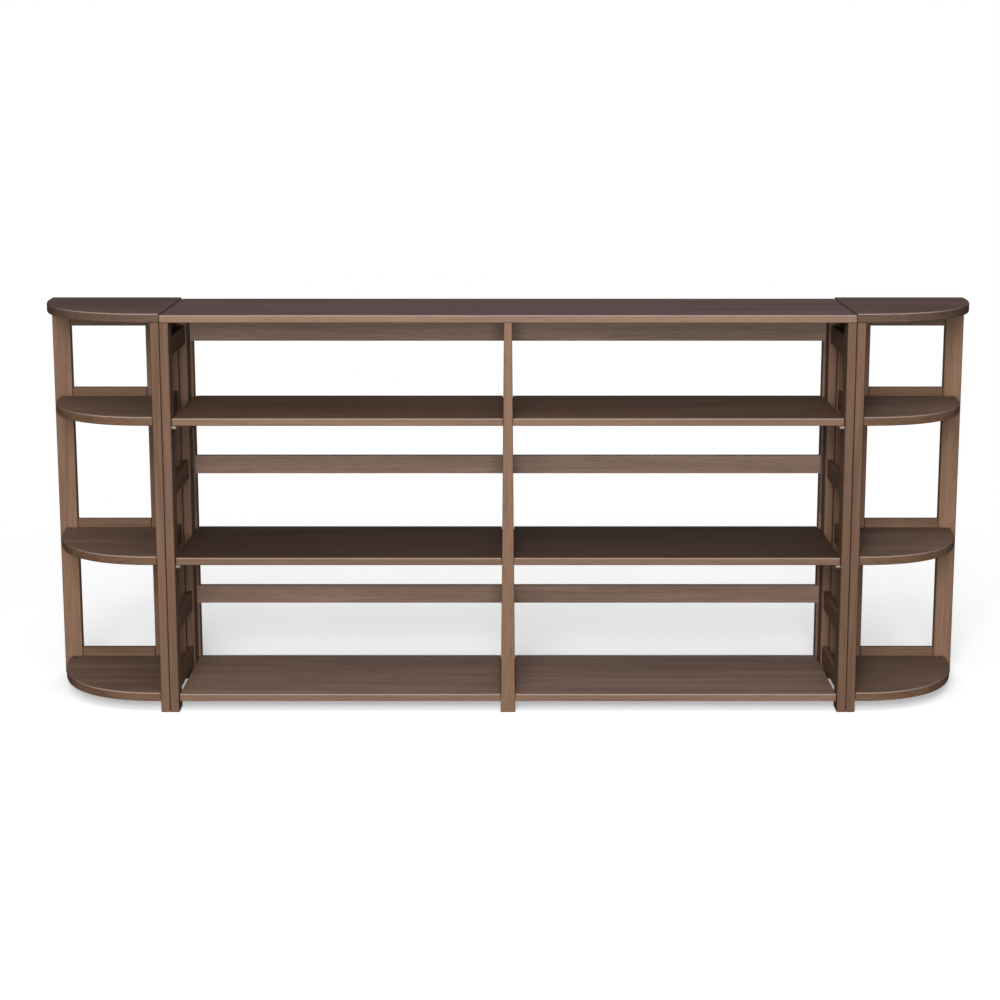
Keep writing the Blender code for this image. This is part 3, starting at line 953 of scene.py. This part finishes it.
@dataclass
class Studio:
    """A white stage that sweeps up all round, soft lights and the camera."""

    distance: float = 4.035
    height: float = 1.376
    tilt: float = 9.72
    focal: float = 70.13
    sensor: float = 36.0
    shift: tuple[float, float] = (-0.008, -0.1)
    floor_rings: int = 6
    cove_start: float = 9.0
    cove_radius: float = 2.0
    cove_steps: int = 12
    wall_height: float = 9.0
    stage_sides: int = 96
    floor_dark: Rgb = (0.86, 0.86, 0.86)
    floor_light: Rgb = (0.90, 0.90, 0.90)
    floor_patches: float = 0.7
    floor_detail: float = 2.0
    floor_roughness: float = 0.85
    pool: Place = (0.62, 1.0, 1.0)
    pool_band: Band = (0.5, 1.9)
    pool_glow: Rgb = (0.34, 0.34, 0.34)
    sky_strength: float = 0.07
    lamps: tuple[Lamp, ...] = (
        Lamp("key", (-0.6, -5.8, 2.9), (0.0, 0.0, 0.45), 2.4, 330.0, glossy=False),
        Lamp("fill", (0.05, -5.8, 0.9), (0.0, 0.0, 0.6), 1.4, 170.0),
        Lamp("overhead", (0.0, -2.0, 4.2), (0.0, -0.3, 0.0), 4.0, 100.0),
        Lamp("rear", (0.6, 5.6, 2.2), (0.0, 0.0, 0.45), 3.0, 140.0, glossy=False),
    )

    def build(self, sizes: Sizes) -> None:
        """Make the stage, the lights and the camera.

        Args:
            sizes: the bookcase's sizes, from which the camera is placed.
        """
        self.stage()
        self.world()
        for lamp in self.lamps:
            self.light(lamp)
        self.camera(sizes)

    def stage(self) -> None:
        """Make the floor, the cove and the wall round it as one turned sheet that is open at the top."""
        rings = range(1, self.floor_rings + 1)
        profile = [(self.cove_start * ring / self.floor_rings, 0.0) for ring in rings]
        for step in range(1, self.cove_steps + 1):
            angle = QUARTER_TURN * step / self.cove_steps
            out = self.cove_start + self.cove_radius * math.sin(angle)
            profile.append((out, self.cove_radius * (1 - math.cos(angle))))
        profile.append((self.cove_start + self.cove_radius, self.wall_height))
        mesh = bmesh.new()
        Shapes.add_turned(mesh, profile, Matrix.Identity(4), self.stage_sides)
        mesh.faces.ensure_lookup_table()
        mesh.faces.remove(mesh.faces[-1])
        floor = Shapes.finish("floor", mesh, self.pale_floor())
        floor.visible_glossy = False
        floor.visible_diffuse = False

    def pale_floor(self) -> bpy.types.Material:
        """Build a floor that takes shadows in a pool round the bookcase and glows white beyond it.

        Returns:
            The new material.
        """
        graph = Graph("pale_floor")
        place = graph.node("ShaderNodeTexCoord", {}, out="Object")
        cloud = graph.node("ShaderNodeTexNoise",
                           {"Vector": place, "Scale": self.floor_patches, "Detail": self.floor_detail})
        tone = graph.mix(cloud, colour(self.floor_dark), colour(self.floor_light))
        squeezed = graph.node("ShaderNodeVectorMath", {0: place, 1: self.pool}, operation="MULTIPLY")
        reach = graph.node("ShaderNodeVectorMath", {0: squeezed}, out="Value", operation="LENGTH")
        beyond = reach.ramp(*self.pool_band)
        tone = graph.mix(beyond, tone, colour(BLACK))
        glow = graph.mix(beyond, colour(self.pool_glow), colour(WHITE))
        graph.surface(Base_Color=tone, Roughness=self.floor_roughness, Specular_IOR_Level=0.0,
                      Emission_Color=glow, Emission_Strength=1.0)
        return graph.material

    def world(self) -> None:
        """Set an even pale sky."""
        sky = bpy.data.worlds.new("studio")
        sky.use_nodes = True
        background = sky.node_tree.nodes["Background"]
        background.inputs["Color"].default_value = colour(WHITE)
        background.inputs["Strength"].default_value = self.sky_strength
        bpy.context.scene.world = sky

    def light(self, lamp: Lamp) -> None:
        """Add an area light that only lights, and isn't seen itself.

        Args:
            lamp: what the light is and where it stands.
        """
        data = bpy.data.lights.new(lamp.name, "AREA")
        data.size = lamp.size
        data.energy = lamp.power
        obj = bpy.data.objects.new(lamp.name, data)
        obj.location = lamp.spot
        obj.rotation_euler = (Vector(lamp.aim) - Vector(lamp.spot)).to_track_quat("-Z", "Y").to_euler()
        obj.visible_camera = False
        obj.visible_glossy = lamp.glossy
        bpy.context.scene.collection.objects.link(obj)

    def camera(self, sizes: Sizes) -> None:
        """Place the camera where the photograph was taken from.

        Args:
            sizes: the bookcase's sizes; the distance is taken from its front.
        """
        data = bpy.data.cameras.new("camera")
        data.sensor_fit = "HORIZONTAL"
        data.sensor_width = self.sensor
        data.lens = self.focal
        data.shift_x, data.shift_y = self.shift
        obj = bpy.data.objects.new("camera", data)
        obj.location = (0.0, sizes.front - self.distance, self.height)
        obj.rotation_euler = (QUARTER_TURN - math.radians(self.tilt), 0.0, 0.0)
        bpy.context.scene.collection.objects.link(obj)
        bpy.context.scene.camera = obj


@dataclass
class Bookcase:
    """The whole set: carried-over solids with new finishes, and the pieces that replace others."""

    sizes: Sizes = field(default_factory=Sizes)
    finishes: Finishes = field(default_factory=Finishes)
    top_screws: int = 14
    corner_top_screws: int = 5

    def dress_solids(self) -> None:
        """Give every carried-over solid its material."""
        steel = self.finishes.metal("hinge_steel", HINGE_STEEL)
        for name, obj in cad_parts.items():
            if "hinge" in name or "pivot" in name or name.startswith("rest_pin"):
                material = steel
            elif "stile" in name or name.endswith("_frame"):
                material = self.finishes.plank(Grain.ALONG_Z)
            elif "shelf" in name:
                material = self.finishes.plank(Grain.ALONG_X, self.shelf_cut(name))
            elif "top" in name:
                cut = Cut.CORNER_TOP if name.startswith("corner") else Cut.TOP
                material = self.finishes.plank(Grain.ALONG_X, cut)
            else:
                material = self.finishes.plank(Grain.ALONG_X, Cut.RAIL)
            for slot in obj.material_slots:
                slot.material = material
            LOG.info("dressed %s in %s", name, material.name)

    @staticmethod
    def shelf_cut(name: str) -> Cut:
        """Return the tones of a shelf, made darker or lighter from level to level as painted shade and
        light.

        Args:
            name: the shelf's node.

        Returns:
            The way that its wood is used.
        """
        if name.startswith("corner"):
            return Cut.CORNER_SHELF
        if Level.MIDDLE.label in name:
            return Cut.SHELF_MIDDLE
        return Cut.SHELF_BASE if Level.BASE.label in name else Cut.SHELF

    def build(self) -> None:
        """Dress the solids and make every sub-assembly."""
        sizes, finishes = self.sizes, self.finishes
        self.dress_solids()
        rungs = sizes.side_rungs()
        Divider(sizes, finishes, "frame", "divider", "divider_frame", rungs).build()
        StripHinge(sizes, finishes, "frame", "divider_hinge", outwards=1).build()
        for side in Side:
            self.build_end(side, rungs)
            self.build_corner(side)
        self.build_screws("frame", "top", self.top_screws)

    def build_end(self, side: Side, rungs: list[float]) -> None:
        """Make the side frame at one end of the centre unit, its hinge and its rest pins.

        Args:
            side: the end.
            rungs: the middle heights of the frame's rungs.
        """
        sizes, finishes = self.sizes, self.finishes
        sign, label = side.value, side.label
        outer = sign * sizes.centre_half
        inner = sign * (sizes.centre_half - sizes.stile_thickness)
        SideFrame(sizes, finishes, "frame", f"side_{label}", f"side_{label}_frame", rungs,
                  x_outer=outer, x_inner=inner, cleats=(Level.BASE,)).build()
        StripHinge(sizes, finishes, "frame", f"side_{label}_hinge", outwards=sign).build()
        for level in (Level.MIDDLE, Level.UPPER):
            RestPin(sizes, finishes, "frame", f"rest_pin_{level.label}_{label}", inwards=-sign).build()

    def build_corner(self, side: Side) -> None:
        """Make the frames, the hinge and the screws of one corner unit.

        Args:
            side: the end that it stands at.
        """
        sizes, finishes = self.sizes, self.finishes
        sign = side.value
        corner = f"corner_{side.label}"
        outer = sign * sizes.corner_inner
        inner = sign * (sizes.corner_inner + sizes.stile_thickness)
        SideFrame(sizes, finishes, corner, f"{corner}_side", f"{corner}_side_frame", sizes.corner_rails(),
                  x_outer=outer, x_inner=inner, cleats=tuple(Level)).build()
        CornerBack(sizes, finishes, corner, side).build()
        StripHinge(sizes, finishes, corner, f"{corner}_side_hinge", outwards=-sign).build()
        self.build_screws(corner, f"{corner}_top", self.corner_top_screws)

    def build_screws(self, body: str, top: str, count: int) -> None:
        """Make the screws in both leaves of a top's hinge.

        Args:
            body: the body that carries the hinge's lower leaf.
            top: the top's body, whose name the leaves share.
            count: screws in each leaf.
        """
        sizes, finishes = self.sizes, self.finishes
        LeafScrews(sizes, finishes, body, f"{top}_hinge_frame_leaf", count, sizes.frame_screw_height).build()
        LeafScrews(sizes, finishes, top, f"{top}_hinge_lid_leaf", count, sizes.lid_screw_height).build()


def main() -> None:
    """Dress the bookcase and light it."""
    logging.basicConfig(level=logging.INFO)
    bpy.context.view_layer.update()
    bookcase = Bookcase()
    bookcase.build()
    Studio().build(bookcase.sizes)
    bpy.context.scene.view_settings.view_transform = "Standard"


if __name__ == "__main__":
    main()
